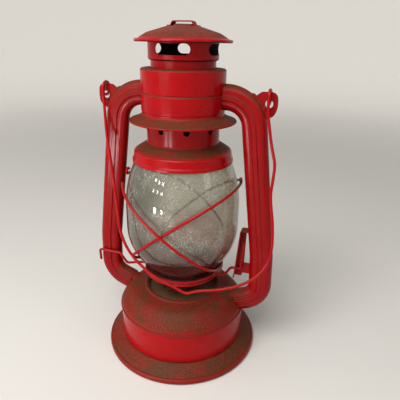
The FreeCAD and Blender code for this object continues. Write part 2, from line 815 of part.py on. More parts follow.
def wick_shaft():
    return shaft_bar(shaft_r, -shaft_tail, knob_at_r / math.cos(shaft_lean) + knob_hub_h + sheet)


def wick_spur(side):
    """Star wheel that feeds the wick."""
    middle = shaft_middle + shaft_dir * (side * spur_apart / 2 - spur_t / 2)
    tips = []
    for i in range(2 * spur_teeth):
        reach = wick_side * (spur_r - spur_tooth * (i % 2))
        tips.append(middle + FreeCAD.Rotation(shaft_dir, i * 180 / spur_teeth).multVec(reach))
    star = Part.Face(Part.makePolygon(tips + tips[:1])).extrude(shaft_dir * spur_t)
    return main_solid(star.cut(shaft_bar(shaft_r, -spur_apart, spur_apart)))


def wick_knob():
    disc = shaft_bar(knob_r, -knob_t / 2, knob_t / 2, knob_middle)
    disc = disc.makeFillet(knob_round, [edge for edge in disc.Edges if isinstance(edge.Curve, Part.Circle)])
    hub = shaft_bar(knob_hub_r, -knob_hub_h, knob_hub_h, knob_middle)
    cuts = [shaft_bar(shaft_r, -2 * knob_hub_h, 2 * knob_hub_h, knob_middle)]
    for i in range(knob_grips):
        grip = shaft_bar(knob_grip_r, -knob_t, knob_t, knob_middle)
        reach = wick_side * (knob_r + knob_grip_r / 3)
        grip.translate(FreeCAD.Rotation(shaft_dir, i * 360 / knob_grips).multVec(reach))
        cuts.append(grip)
    return main_solid(disc.fuse(hub).cut(cuts))


def burner_body():
    """Burner from the tank lid up to its gallery, with a web that holds the wick tube."""
    step = dome_top + burner_step_up
    shell = skin([(burner_neck_r, burner_low), (burner_neck_r, step, burner_round),
                  (burner_r, step + burner_step_h, burner_round), (burner_r, gallery_z, burner_round),
                  (gallery_r, gallery_z + gallery_flare, burner_edge), (gallery_r, cone_z)])
    web = Part.makeCylinder(burner_neck_r - sheet / 2, sheet, Vector(0, 0, lid_z))
    hole = flat_bar(wick_tube_w + 2 * seat_gap, wick_tube_t + 2 * seat_gap, burner_low, step)
    way = shaft_bar(shaft_r + running, -shaft_tail - play, knob_at_r)
    return main_solid(shell.fuse(web).cut([hole, way]))


def vent_plate():
    """Perforated pan that closes the dome's throat round the burner."""
    z = dome_top - vent_plate_drop
    rim = throat_r - seat_gap
    pan = skin([(burner_neck_r + seat_gap, z), (rim, z, burner_edge), (rim, dome_top)])
    vent = Part.makeCylinder(vent_plate_hole_r, wire, around(0, burner_r + vent_plate_hole_out, z - sheet))
    return main_solid(pan.cut(pattern(vent, vent_plate_holes)))


def wick_tube():
    high = dome_top + wick_tube_up
    tube = flat_bar(wick_tube_w, wick_tube_t, burner_low, high)
    cuts = [flat_bar(wick_w + 2 * wick_slide, wick_t + 2 * wick_slide, tank_floor, 2 * high)]
    for side in (-1, 1):
        middle = side * spur_apart / 2
        cuts.append(shaft_bar(spur_r + play, middle - spur_t / 2 - play, middle + spur_t / 2 + play))
    return main_solid(tube.cut(cuts))


def wick():
    return flat_bar(wick_w, wick_t, tank_floor + wick_foot_up, dome_top + wick_tube_up + wick_over_tube)


def burner_cone():
    """Low dome on the gallery with the flame slot over the wick."""
    shell = skin([(gallery_r, cone_z), (gallery_r, cone_z + 2 * sheet, burner_edge),
                  (cone_top_r, cone_z + cone_h, cone_round), (wick_t / 2, cone_z + cone_h)])
    slot = flat_bar(wick_w + 2 * flame_slot, wick_t + 2 * flame_slot, cone_z, cone_z + 2 * cone_h)
    return main_solid(shell.cut(slot))


right_tube = air_tube()
right_ear = bail_ear()
pieces = {
    "foot_ring": foot_ring(),
    "fount_cup": fount_cup(),
    "fount_dome": fount_dome(),
    "tank_lid": tank_lid(),
    "filler_neck": filler_neck(),
    "filler_gasket": filler_gasket(),
    "filler_cap": filler_cap(),
    "vent_plate": vent_plate(),
    "burner_body": burner_body(),
    "burner_cone": burner_cone(),
    "wick_tube": wick_tube(),
    "wick": wick(),
    "wick_shaft": wick_shaft(),
    "wick_spur_inner": wick_spur(-1),
    "wick_spur_outer": wick_spur(1),
    "wick_knob": wick_knob(),
    "right_air_tube": right_tube,
    "left_air_tube": mirrored(right_tube),
    "right_ear": right_ear,
    "left_ear": mirrored(right_ear),
    "lift_bracket": lift_bracket(),
    "bail": bail(),
    "hood": hood(),
    "chimney_spring": chimney_spring(),
    "globe_cap": globe_cap(),
    "flue_tube": flue_tube(),
    "vent_crown": vent_crown(),
    "smoke_cap": smoke_cap(),
    "lift_loop": lift_loop(),
    "globe": globe(),
    "globe_plate": globe_plate(),
    "carrier_ring": carrier_ring(),
    "hook_arm": hook_arm(),
    "lift_arm": lift_arm(),
    "right_guard": guard(guard_az, 0.0),
    "left_guard": guard(-guard_az, guard_cross),
}

os.makedirs("parts", exist_ok=True)
for node, shape in pieces.items():
    shape.exportStep("parts/%s.step" % node)
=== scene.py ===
import bpy
import numpy as np
from mathutils import Matrix, Vector


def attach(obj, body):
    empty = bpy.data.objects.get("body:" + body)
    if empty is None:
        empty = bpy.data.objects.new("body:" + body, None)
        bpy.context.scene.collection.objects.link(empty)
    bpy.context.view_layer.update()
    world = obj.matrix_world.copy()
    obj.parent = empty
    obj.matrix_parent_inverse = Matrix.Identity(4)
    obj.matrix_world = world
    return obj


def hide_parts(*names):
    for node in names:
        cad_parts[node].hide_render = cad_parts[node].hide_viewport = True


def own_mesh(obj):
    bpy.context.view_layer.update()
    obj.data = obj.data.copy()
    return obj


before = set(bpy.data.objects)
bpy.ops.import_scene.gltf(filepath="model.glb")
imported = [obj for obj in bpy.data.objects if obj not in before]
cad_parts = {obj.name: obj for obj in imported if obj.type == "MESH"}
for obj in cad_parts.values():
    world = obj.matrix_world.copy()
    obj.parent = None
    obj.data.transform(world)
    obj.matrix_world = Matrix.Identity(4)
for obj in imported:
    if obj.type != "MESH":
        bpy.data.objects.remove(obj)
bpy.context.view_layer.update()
mm = 0.001
scene = bpy.context.scene
scene.view_settings.view_transform = "Standard"
print("frame loaded,", len(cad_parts), "nodes")


# colours and nodes

def linear(hexColour):
    # sRGB hex to the linear values that the shader sockets take
    srgb = np.array([int(hexColour[i:i + 2], 16) for i in (1, 3, 5)]) / 255
    low, high = srgb / 12.92, ((srgb + 0.055) / 1.055) ** 2.4
    return (*np.where(srgb < 0.04045, low, high).tolist(), 1.0)


def put(tree, kind, settings=None):
    # one node; each setting is an attribute, an input's value, or the output socket that feeds an input
    made = tree.nodes.new("ShaderNode" + kind)
    for key, value in (settings or {}).items():
        if isinstance(value, bpy.types.NodeSocket):
            tree.links.new(value, made.inputs[key])
        elif isinstance(key, str) and hasattr(made, key):
            setattr(made, key, value)
        else:
            made.inputs[key].default_value = value
    return made


def maths(tree, operation, *terms, clamp=False):
    # one operation on sockets and plain numbers, in the order that it takes them
    settings = {"operation": operation, "use_clamp": clamp, **dict(enumerate(terms))}
    return put(tree, "Math", settings).outputs[0]


def vectors(tree, operation, *terms):
    # one operation on vectors, in the order that it takes them
    return put(tree, "VectorMath", {"operation": operation, **dict(enumerate(terms))})


def mix(tree, share, first, second):
    # the first colour where the share is 0 and the second where it is 1; each is a hex colour or a socket
    pair = [linear(colour) if isinstance(colour, str) else colour for colour in (first, second)]
    return put(tree, "MixRGB", {"Fac": share, "Color1": pair[0], "Color2": pair[1]}).outputs[0]


def ramp(tree, value, ends, heights=(0, 1), ease="LINEAR"):
    # the first height up to the first end, the second height past the second end, and a straight or
    # eased run from one to the other between the ends
    return put(tree, "MapRange", {"interpolation_type": ease, "Value": value, "From Min": ends[0],
                                  "From Max": ends[1], "To Min": heights[0],
                                  "To Max": heights[1]}).outputs[0]


def noise(tree, place, size, detail, roughness=0.5):
    # noise fixed to the piece, with marks of this many millimetres
    return put(tree, "TexNoise", {"Vector": place.outputs["Object"], "Scale": 1 / (size * mm),
                                  "Detail": detail, "Roughness": roughness}).outputs["Fac"]


def newMaterial(name):
    # an empty material and its node tree
    made = bpy.data.materials.new(name)
    made.use_nodes = True
    made.node_tree.nodes.clear()
    return made, made.node_tree


def fromAxis(tree, place):
    # level vector from the lantern's axis to the face
    return vectors(tree, "MULTIPLY", place.outputs["Object"], (1, 1, 0)).outputs[0]


def outward(tree, place):
    # how far a face looks away from the lantern's axis: its normal dotted with the level direction
    # from the axis to the face, 1 outside a cylinder and -1 inside it
    ray = vectors(tree, "NORMALIZE", fromAxis(tree, place)).outputs[0]
    return vectors(tree, "DOT_PRODUCT", ray, place.outputs["Normal"]).outputs["Value"]


def dress(material, *names):
    # this material alone on each named solid
    for name in names:
        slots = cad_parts[name].data.materials
        slots.clear()
        slots.append(material)


# red pressings: hood, chimney, fount, foot and tubes

def enamel(name, look):
    # stove enamel on pressed steel: a deep gloss red, dulled by a brown film of dust and rust bloom
    # wherever the sheet looks up, painted shade in the folds, bare rusty steel on worn edges, and soot
    # on the inner faces of the chimney
    material, tree = newMaterial(name)
    place = put(tree, "TexCoord")
    upward = put(tree, "SeparateXYZ", {0: place.outputs["Normal"]}).outputs["Z"]
    blotch = noise(tree, place, look["blotch"], detail=4.0, roughness=0.6)
    grit = noise(tree, place, look["grit"], detail=3.0, roughness=0.75)
    # film: upward slope plus drifts and grains, and none past the radius where hands rub it off
    drift = maths(tree, "MULTIPLY_ADD", blotch, look["patchy"], -look["patchy"] / 2)
    grain = maths(tree, "MULTIPLY_ADD", grit, look["speckle"], -look["speckle"] / 2)
    lying = maths(tree, "ADD", maths(tree, "ADD", upward, drift), grain)
    settled = ramp(tree, lying, (look["filmFrom"], look["filmFull"]), (0, look["film"]), "SMOOTHSTEP")
    radius = vectors(tree, "LENGTH", fromAxis(tree, place)).outputs["Value"]
    rubbed = (look["rubbed"] * mm, (look["rubbed"] - look["rubbedFade"]) * mm)
    film = maths(tree, "MULTIPLY", settled, ramp(tree, radius, rubbed, ease="SMOOTHSTEP"))
    paint = mix(tree, blotch, look["deep"], look["red"])
    olive = noise(tree, place, look["olive"], detail=5.0, roughness=0.65)
    bloom = mix(tree, ramp(tree, olive, look["oliveEdge"], ease="SMOOTHSTEP"), look["dust"], look["bloom"])
    dust = mix(tree, ramp(tree, grit, look["mottle"]), look["dustDark"], bloom)
    filmed = mix(tree, film, paint, dust)
    # painted shade where neighbouring faces close in, and bare steel where the rounded normal leaves the
    # true one
    fold = put(tree, "AmbientOcclusion", {"samples": 6, "only_local": True,
                                          "Distance": look["foldSize"] * mm})
    foldShaded = mix(tree, ramp(tree, fold.outputs["AO"], look["foldOpen"], (0, look["foldShadeDepth"])), filmed,
                 look["foldShade"])
    soft = put(tree, "Bevel", {"samples": 4, "Radius": look["edgeSize"] * mm})
    flat = put(tree, "NewGeometry")
    turn = vectors(tree, "DOT_PRODUCT", soft.outputs[0], flat.outputs["Normal"]).outputs["Value"]
    worn = maths(tree, "MULTIPLY", ramp(tree, turn, look["edgeTurn"], (0, look["chip"])), blotch)
    chipped = mix(tree, worn, foldShaded, look["bare"])
    # soot on faces that look inward or down, and rust round one spot
    hollow = ramp(tree, outward(tree, place), look["innerFace"])
    under = ramp(tree, upward, look["underFace"])
    sooty = maths(tree, "MULTIPLY", maths(tree, "MAXIMUM", hollow, under), look["soot"])
    sooted = mix(tree, sooty, chipped, look["sootBlack"])
    spot = [v * mm for v in look["rustAt"]]
    far = vectors(tree, "DISTANCE", place.outputs["Object"], spot).outputs["Value"]
    near = ramp(tree, far, (look["rustSize"] * mm, look["rustFull"] * look["rustSize"] * mm))
    colour = mix(tree, near, sooted, look["rust"])
    # film and soot are matt; grit stands up from the film, over the paint's slow waves
    dull = ramp(tree, maths(tree, "MAXIMUM", film, sooty), (0, 1), (look["gloss"], look["matt"]))
    rough = maths(tree, "MULTIPLY_ADD", grit, look["gritRough"], dull)
    waves = noise(tree, place, look["peel"], detail=1.0)
    relief = maths(tree, "MULTIPLY_ADD", waves, look["peelHeight"], maths(tree, "MULTIPLY", grit, film))
    bump = put(tree, "Bump", {"Strength": look["bump"], "Distance": look["relief"] * mm, "Height": relief})
    shader = put(tree, "BsdfPrincipled", {
        "IOR": 1.5, "Specular IOR Level": look["shine"], "Base Color": colour, "Roughness": rough,
        "Normal": bump.outputs[0]})
    put(tree, "OutputMaterial", {"Surface": shader.outputs[0]})
    return material


redEnamel = {   # sizes in mm; each pair is where a change starts and where it is full
    "red": "#a8090f", "deep": "#880408",                            # fresh and faded paint
    "dust": "#8a2717", "bloom": "#5c3b1d", "dustDark": "#34130a",   # film on faces that look up
    "foldShade": "#240a06", "bare": "#3a2018", "rust": "#5e3a22",        # painted shade in folds, bare edges, rust
    "film": 0.92, "filmFrom": 0.1, "filmFull": 0.64, "patchy": 0.4, "speckle": 0.36,
    "rubbed": 90.0, "rubbedFade": 5.0,          # radius where the film is all rubbed off, and its fade
    "blotch": 9.0, "olive": 20.0, "oliveEdge": (0.36, 0.64), "grit": 1.1, "mottle": (0.32, 0.68),
    # painted shade in the folds: how far it looks for neighbouring faces, where it starts and is full, and
    # how dark it gets
    "foldSize": 3.0, "foldOpen": (0.8, 0.35), "foldShadeDepth": 0.75,
    "edgeSize": 0.7, "edgeTurn": (0.985, 0.9), "chip": 0.7,
    "gloss": 0.16, "matt": 0.62, "gritRough": 0.1, "shine": 0.15,
    "peel": 5.0, "peelHeight": 0.2, "bump": 0.3, "relief": 0.3,
    "soot": 0.0, "sootBlack": "#0b0706", "innerFace": (0.15, -0.3), "underFace": (-0.3, -0.8),
    "rustAt": (0, 0, -50), "rustSize": 1.0, "rustFull": 0.3,        # under the floor, so none shows
}
dress(enamel("stoveEnamel", redEnamel), "hood", "lift_loop", "fount_cup", "filler_neck", "filler_cap",
      "tank_lid")

# the tubes and what is welded to them take a darker copy of the red paint: painted shade
shadedTubeEnamel = enamel("shadedTubeEnamel", dict(redEnamel, red="#96090d", deep="#740507"))
dress(shadedTubeEnamel, "left_air_tube", "right_air_tube", "left_ear", "right_ear", "lift_bracket")

# the dome is dusty down to its seam; the foot's paint has gone dull, and the outside of its bead is rubbed
dress(enamel("domeEnamel", dict(redEnamel, filmFrom=-0.05, filmFull=0.5)), "fount_dome")
dress(enamel("footEnamel", dict(redEnamel, rubbed=75.0, red="#8e1812", deep="#70100c")), "foot_ring")

# chimney pressings, sooted inside; the edges of the globe cap and the smoke cap are rubbed clean
chimneyEnamel = dict(redEnamel, soot=0.97, rubbed=43.0)
dress(enamel("sootedEnamel", chimneyEnamel), "globe_cap", "vent_crown", "flue_tube")
smokedEnamel = dict(chimneyEnamel, rubbed=38.3, dust="#8a4030", bloom="#6a3c28")
dress(enamel("smokedEnamel", smokedEnamel), "smoke_cap")

# red wire: less film on it and less painted shade in its folds, rusted through the paint at the right
# guard's curl
wireEnamel = dict(redEnamel, film=0.5, filmFrom=0.5, filmFull=1.0, blotch=6.0, grit=0.6, foldSize=2.0,
                  foldShadeDepth=0.3, edgeSize=0.3, chip=0.3, peel=2.0, rustAt=(51, -2, 171), rustSize=16.0)
dress(enamel("wireEnamel", wireEnamel), "bail", "carrier_ring", "hook_arm", "lift_arm", "left_guard",
      "right_guard")

# perforated plates round the burner: the same red, crumbly with soot and dust under the globe, and under
# a thick olive dust in the fount's throat
seatEnamel = dict(redEnamel, dust="#86403a", bloom="#6a4a40", dustDark="#1c0c0a", film=0.85, blotch=5.0,
                  olive=6.0, grit=1.4)
dress(enamel("seatEnamel", seatEnamel), "globe_plate")
ventEnamel = dict(redEnamel, dust="#6e5439", bloom="#574a2f", dustDark="#3c2d1e", film=0.95, blotch=5.0)
dress(enamel("ventEnamel", ventEnamel), "vent_plate")
print("enamel done")


# bare metal: burner, wick drive, knob and spring

def plainMetal(name, look):
    # bare sheet or wire gone dull: two tones of oxide over a metal, rougher where the oxide is thick
    material, tree = newMaterial(name)
    place = put(tree, "TexCoord")
    patch = noise(tree, place, look["patch"], detail=4.0, roughness=0.65)
    oxide = ramp(tree, patch, look["oxideEdge"])
    bump = put(tree, "Bump", {"Strength": look["bump"], "Distance": look["relief"] * mm, "Height": patch})
    shader = put(tree, "BsdfPrincipled", {
        "Base Color": mix(tree, oxide, look["metal"], look["oxide"]),
        "Roughness": ramp(tree, oxide, (0, 1), (look["smooth"], look["rough"])),
        "Metallic": ramp(tree, oxide, (0, 1), (look["metallic"], look["metallic"] * look["oxideShine"])),
        "Normal": bump.outputs[0]})
    put(tree, "OutputMaterial", {"Surface": shader.outputs[0]})
    return material


# brass burner under soot and red dust
burnerBrass = {"metal": "#6a241f", "oxide": "#180807", "patch": 2.2, "smooth": 0.5, "rough": 0.8,
               "metallic": 0.3, "oxideEdge": (0.35, 0.65), "oxideShine": 0.3, "bump": 0.3, "relief": 0.2}
dress(plainMetal("sootyBrass", burnerBrass), "burner_body", "burner_cone", "wick_tube", "wick_spur_inner",
      "wick_spur_outer", "wick_shaft")
# knob of rusted steel, its rust tones made lighter as painted light against the shade under the globe
knobRustPaintedLight = dict(burnerBrass, metal="#a85a42", oxide="#8a3c2a", patch=2.0, metallic=0.2)
dress(plainMetal("rustedKnobPaintedLight", knobRustPaintedLight), "wick_knob")
# spring wire, grey with a little rust
springWire = dict(burnerBrass, metal="#6e6a66", oxide="#5a4436", patch=4.0, smooth=0.35, rough=0.6,
                  metallic=0.9)


# glass globe

def dustyGlass(name, look):
    # pressed soda glass, wavy and seeded, clear enough to see through, darker on one side as painted
    # shade, and stained red low down, under a film of lamp dust on the outside that is cloudy, denser at
    # a slant, and flecked pale and dark where drops have dried
    material, tree = newMaterial(name)
    place = put(tree, "TexCoord")
    cloud = noise(tree, place, look["cloud"], detail=3.0, roughness=0.6)
    speck = noise(tree, place, look["speck"], detail=1.0)
    height = put(tree, "SeparateXYZ", {0: place.outputs["Object"]}).outputs["Z"]
    rise = ramp(tree, height, (look["redBelow"] * mm, look["greyAbove"] * mm), ease="SMOOTHSTEP")
    # cover: cloudy veil, thin low down, times the slant, plus the dried drops, on outer faces alone
    veil = ramp(tree, cloud, look["veilCloud"], (look["thin"], look["thick"]))
    settled = maths(tree, "MULTIPLY", veil, ramp(tree, rise, (0, 1), (look["lowFilm"], 1)))
    grazing = put(tree, "LayerWeight", {"Blend": look["slant"]})
    denser = maths(tree, "MULTIPLY_ADD", grazing.outputs["Facing"], look["edgeFilm"], 1.0)
    drops = maths(tree, "MAXIMUM", ramp(tree, speck, look["paleDrop"]), ramp(tree, speck, look["darkDrop"]))
    wet = ramp(tree, cloud, look["wetCloud"], (look["dry"], look["specks"]))
    veiled = maths(tree, "MULTIPLY", settled, denser)
    spots = maths(tree, "MULTIPLY", drops, wet)
    cover = maths(tree, "ADD", veiled, spots, clamp=True)
    film = maths(tree, "MULTIPLY", cover, maths(tree, "GREATER_THAN", outward(tree, place), 0.0))
    flecks = mix(tree, ramp(tree, speck, look["dropTone"]), look["darkSpeck"], look["paleSpeck"])
    dried = mix(tree, drops, mix(tree, rise, look["redDust"], look["dust"]), flecks)
    # glass: red low down, and darker towards one side as painted shade
    towardShadeSide = vectors(tree, "DOT_PRODUCT", place.outputs["Object"], look["shadeSide"]).outputs["Value"]
    sideShade = ramp(tree, towardShadeSide, (look["sideShadeFrom"] * mm, look["sideShadeFull"] * mm), (0, look["sideShade"]),
                 "SMOOTHSTEP")
    sideShaded = mix(tree, sideShade, mix(tree, rise, look["redStain"], look["clear"]), look["smoke"])
    swirl = noise(tree, place, look["swirl"], detail=1.0)
    seeds = noise(tree, place, look["seed"], detail=1.0)
    wavy = maths(tree, "MULTIPLY_ADD", seeds, look["seedHeight"], swirl)
    bump = put(tree, "Bump", {"Strength": look["bump"], "Distance": look["relief"] * mm, "Height": wavy})
    shader = put(tree, "BsdfPrincipled", {
        "IOR": 1.47, "Roughness": look["polish"], "Specular IOR Level": look["shine"],
        "Base Color": mix(tree, film, sideShaded, dried),
        "Transmission Weight": maths(tree, "SUBTRACT", 1.0, film, clamp=True), "Normal": bump.outputs[0]})
    put(tree, "OutputMaterial", {"Surface": shader.outputs[0]})
    return material


globeGlass = {  # sizes and heights in mm; each pair is where a change starts and where it is full
    "clear": "#d2d0c2", "redStain": "#a8645a", "smoke": "#2c281d",  # the glass, and the dark tone of its painted shade on one side
    "dust": "#7e7767", "redDust": "#4c1612", "darkSpeck": "#3a2c26", "paleSpeck": "#cfc8b6",
    "redBelow": 96.0, "greyAbove": 130.0,       # heights where the red stain starts and ends to fade
    "cloud": 20.0, "veilCloud": (0.25, 0.75), "thin": 0.05, "thick": 0.2, "lowFilm": 0.2,
    "slant": 0.4, "edgeFilm": 1.2,
    "speck": 1.2, "paleDrop": (0.56, 0.66), "darkDrop": (0.44, 0.34), "dropTone": (0.47, 0.53),
    "wetCloud": (0.38, 0.62), "dry": 0.07, "specks": 0.4,           # cover of the drops
    # painted shade: the glass darkens towards this side, between these distances along it
    "shadeSide": (-0.966, -0.259, 0), "sideShade": 0.66, "sideShadeFrom": 4.0, "sideShadeFull": 48.0,
    "polish": 0.02, "shine": 0.3,
    "swirl": 9.0, "seed": 1.8, "seedHeight": 0.08, "bump": 0.08, "relief": 0.5,
}
dress(dustyGlass("dustyGlass", globeGlass), "globe")


# wick and gasket

def plainSoft(name, look):
    # matt cotton or rubber with a fine weave or grain of its own size
    material, tree = newMaterial(name)
    grain = noise(tree, put(tree, "TexCoord"), look["grain"], detail=3.0)
    bump = put(tree, "Bump", {"Strength": look["bump"], "Distance": look["relief"] * mm, "Height": grain})
    shader = put(tree, "BsdfPrincipled", {
        "Roughness": look["matt"], "Base Color": mix(tree, grain, look["dark"], look["pale"]),
        "Normal": bump.outputs[0]})
    put(tree, "OutputMaterial", {"Surface": shader.outputs[0]})
    return material


wickCotton = {"dark": "#4a3c2c", "pale": "#8a7a5e", "grain": 0.7, "matt": 0.85, "bump": 0.4, "relief": 0.2}
dress(plainSoft("cottonWick", wickCotton), "wick")
gasketRubber = dict(wickCotton, dark="#101010", pale="#262422", grain=0.5)
dress(plainSoft("blackRubber", gasketRubber), "filler_gasket")
print("metal, glass and wick done")


# camera, where the photographer stood

photoCamera = {"place": (111.4, -320.6, 282.3), "azimuth": 16.515, "elevation": 21.651, "roll": 1.221,
               "lens": 35.753, "sensor": 36.0, "clip": (0.01, 50.0)}


def aim(azimuth, elevation, roll):
    # columns right, up and back of a camera that looks at the lantern from this side
    a, e, r = np.radians([azimuth, elevation, roll])
    right = np.array([np.cos(a), np.sin(a), 0])
    back = np.array([np.sin(a) * np.cos(e), -np.cos(a) * np.cos(e), np.sin(e)])
    up = np.cross(back, right)
    turned = np.cos(r) * right + np.sin(r) * up
    return np.stack([turned, np.cross(back, turned), back], 1)


cameraData = bpy.data.cameras.new("photoCamera")
cameraData.lens = photoCamera["lens"]
cameraData.sensor_width = photoCamera["sensor"]
cameraData.clip_start, cameraData.clip_end = photoCamera["clip"]
camera = bpy.data.objects.new("photoCamera", cameraData)
looking = Matrix(aim(photoCamera["azimuth"], photoCamera["elevation"], photoCamera["roll"]).tolist())
camera.matrix_world = Matrix.Translation(Vector(photoCamera["place"]) * mm) @ looking.to_4x4()
scene.collection.objects.link(camera)
scene.camera = camera
print("camera set")


# surfaces from grids of points

def quads(index):
    # four-cornered faces between neighbouring rows and columns of a grid of corner numbers
    corners = [index[:-1, :-1], index[:-1, 1:], index[1:, 1:], index[1:, :-1]]
    return np.stack(corners, -1).reshape(-1, 4).tolist()


def smoothMesh(name, corners, faces):
    # a smooth piece in the scene, from corner points in metres and each face's corner numbers
    mesh = bpy.data.meshes.new(name)
    mesh.from_pydata(corners.tolist(), [], faces)
    mesh.polygons.foreach_set("use_smooth", np.ones(len(faces), bool))
    mesh.update()
    made = bpy.data.objects.new(name, mesh)
    scene.collection.objects.link(made)
    return made


beadSides = 12


def beads(name, paths, radii, lean=(0, 1, 0), closed=False):
    # round bead along each path: round each of its points, a circle of the radius given there, spanned
    # by lean and by the direction square to lean and to the path; open ends are capped
    corners, faces = [], []
    circle = np.linspace(0, 2 * np.pi, beadSides, endpoint=False)[None, :, None]
    for path, radius in zip(paths, radii):
        along = np.gradient(path, axis=0) if not closed else np.roll(path, -1, 0) - np.roll(path, 1, 0)
        along /= np.linalg.norm(along, axis=1, keepdims=True)
        side = np.broadcast_to(lean, path.shape)
        across = np.cross(side, along)
        rings = path[:, None] + radius[:, None, None] * (across[:, None] * np.cos(circle)
                                                         + side[:, None] * np.sin(circle))
        first = sum(len(c) for c in corners)
        index = first + np.arange(len(path) * beadSides).reshape(len(path), beadSides)
        rows = np.concatenate([index, index[:1]]) if closed else index
        corners.append(rings.reshape(-1, 3))
        faces += quads(np.concatenate([rows, rows[:, :1]], 1))
        if not closed:
            faces += [index[0][::-1].tolist(), index[-1].tolist()]
    return smoothMesh(name, np.concatenate(corners) * mm, faces)


def finish(made, material, body):
    # the piece with its material and slot, riding on its body
    made.data.materials.append(material)
    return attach(made, body)


# pressed and rolled details that the solids leave plain, in mm and degrees

tubeFolds = {   # where each tube's end was pinched into the dome: short folds along the sheet
    "bend": (56.39, 73.33), "round": 20.0, "from": -30.0, "to": -68.0,   # low bend of the right tube
    "arcSteps": 16,
    "run": 10.0, "runFrom": 0.15, "runSteps": 7,  # straight run on into the dome
    "across": (8.4, 6.0, 3.7, -4.0),              # folds from the middle line towards the bend
    "flat": 4.25, "half": 6.25,                   # the tube's section: half of its flat, half of its depth
    "radius": 1.05, "sunk": 0.35,                 # the fold's bead, and its share under the sheet
    "tip": 0.02, "swell": 0.6,                    # it grows from a thin tip
}
earEdges = {    # ear plates: weld along the tube, eyelet round the hole, rolled outer edge
    "bend": (37.3, 217.57), "weldRound": 34.7, "weldFrom": 54.0, "weldTo": 15.0, "weldOff": 1.0,
    "weldRadius": 0.95, "weldSteps": 20,
    "hole": (71.5, 238.17), "eyeletRound": 3.9, "eyeletOff": 0.75, "eyeletRadius": 0.6, "eyeletSteps": 32,
    "edge": 6.1, "edgeTop": 8.6, "edgeLow": 10.4, "edgeFrom": 58.0, "edgeTo": -84.0, "edgeRadius": 0.85,
    "edgeSteps": 28, "squareTop": 0.65,           # power of the superellipse above the hole
    "tip": 0.03, "tipSlope": 4,                   # both beads thin out at their ends
}


def foldPaths(side):
    # each fold follows the tube's low bend at its own radius, then runs on straight along the tangent;
    # its bead swells with a power of a quarter sine
    sweep = np.radians(np.linspace(tubeFolds["from"], tubeFolds["to"], tubeFolds["arcSteps"]))
    spoke = np.stack([np.cos(sweep), np.sin(sweep)], 1)
    tangent = np.array([spoke[-1, 1], -spoke[-1, 0]])
    ahead = np.linspace(tubeFolds["runFrom"], 1, tubeFolds["runSteps"])[:, None] * tubeFolds["run"]
    paths, radii = [], []
    for across in tubeFolds["across"]:
        arc = np.array(tubeFolds["bend"]) + (tubeFolds["round"] - across) * spoke
        line = np.concatenate([arc, arc[-1] + ahead * tangent])
        depth = max(abs(across) - tubeFolds["flat"], 0)
        front = np.sqrt(tubeFolds["half"] ** 2 - depth ** 2) - tubeFolds["sunk"] * tubeFolds["radius"]
        quarter = np.sin(np.linspace(tubeFolds["tip"], 0.5, len(line)) * np.pi)
        for face in (-1, 1):
            paths.append(np.stack([side * line[:, 0], 0 * line[:, 0] + face * front, line[:, 1]], 1))
            radii.append(tubeFolds["radius"] * quarter ** tubeFolds["swell"])
    return paths, radii


def earPaths(side):
    # weld: arc round the tube's upper bend; rolled edge: half of a superellipse round the hole
    sweep = np.radians(np.linspace(earEdges["weldFrom"], earEdges["weldTo"], earEdges["weldSteps"]))
    spoke = np.stack([np.cos(sweep), np.sin(sweep)], 1)
    weld = np.array(earEdges["bend"]) + earEdges["weldRound"] * spoke
    turn = np.radians(np.linspace(earEdges["edgeFrom"], earEdges["edgeTo"], earEdges["edgeSteps"]))
    reach = np.where(turn > 0, earEdges["edgeTop"], earEdges["edgeLow"])
    power = np.where(turn > 0, earEdges["squareTop"], 1.0)
    edge = np.array(earEdges["hole"]) + np.stack([
        earEdges["edge"] * np.abs(np.cos(turn)) ** power,
        reach * np.sign(np.sin(turn)) * np.abs(np.sin(turn)) ** power], 1)
    lines = [(weld, -earEdges["weldOff"], earEdges["weldRadius"]),
             (weld, earEdges["weldOff"], earEdges["weldRadius"]), (edge, 0, earEdges["edgeRadius"])]
    paths, radii = [], []
    for line, y, radius in lines:
        half = np.sin(np.linspace(earEdges["tip"], 1 - earEdges["tip"], len(line)) * np.pi)
        paths.append(np.stack([side * line[:, 0], 0 * line[:, 0] + y, line[:, 1]], 1))
        radii.append(radius * np.clip(half * earEdges["tipSlope"], 0, 1))
    return paths, radii


def eyeletPaths(side):
    # a ring on each face of the ear plate
    turn = np.linspace(0, 2 * np.pi, earEdges["eyeletSteps"], endpoint=False)
    x = side * (earEdges["hole"][0] + earEdges["eyeletRound"] * np.cos(turn))
    z = earEdges["hole"][1] + earEdges["eyeletRound"] * np.sin(turn)
    paths = [np.stack([x, 0 * turn + face * earEdges["eyeletOff"], z], 1) for face in (-1, 1)]
    return paths, [0 * turn + earEdges["eyeletRadius"]] * 2


for sideName, side in (("left", -1), ("right", 1)):
    for made in (beads(sideName + "TubeFolds", *foldPaths(side)),
                 beads(sideName + "EarEdges", *earPaths(side)),
                 beads(sideName + "Eyelets", *eyeletPaths(side), closed=True)):
        finish(made, shadedTubeEnamel, "frame")
print("folds and ear edges done")


# coil round the flue, in two halves: the upper rides on the frame, the lower on the globe carrier

chimneySpring = {
    "low": 235.84, "high": 260.87, "round": 28.8, "wire": 0.8, "turns": 4, "steps": 48,
    "keep": 0.26,                                 # share of its length that a half keeps when squashed
    "parting": 0.001,                             # share of the whole left open on each side of the middle
}


def springHalf(name, start, end):
    # helix at a steady radius, rising in step with the turn, between two shares of its whole length
    spring = chimneySpring
    share = np.linspace(start, end, int((end - start) * spring["turns"] * spring["steps"]) + 1)
    turn = 2 * np.pi * spring["turns"] * share
    ray = np.stack([np.sin(turn), -np.cos(turn), 0 * turn], 1)
    path = spring["round"] * ray
    path[:, 2] = spring["low"] + (spring["high"] - spring["low"]) * share
    return beads(name, [path], [0 * turn + spring["wire"]], lean=ray)


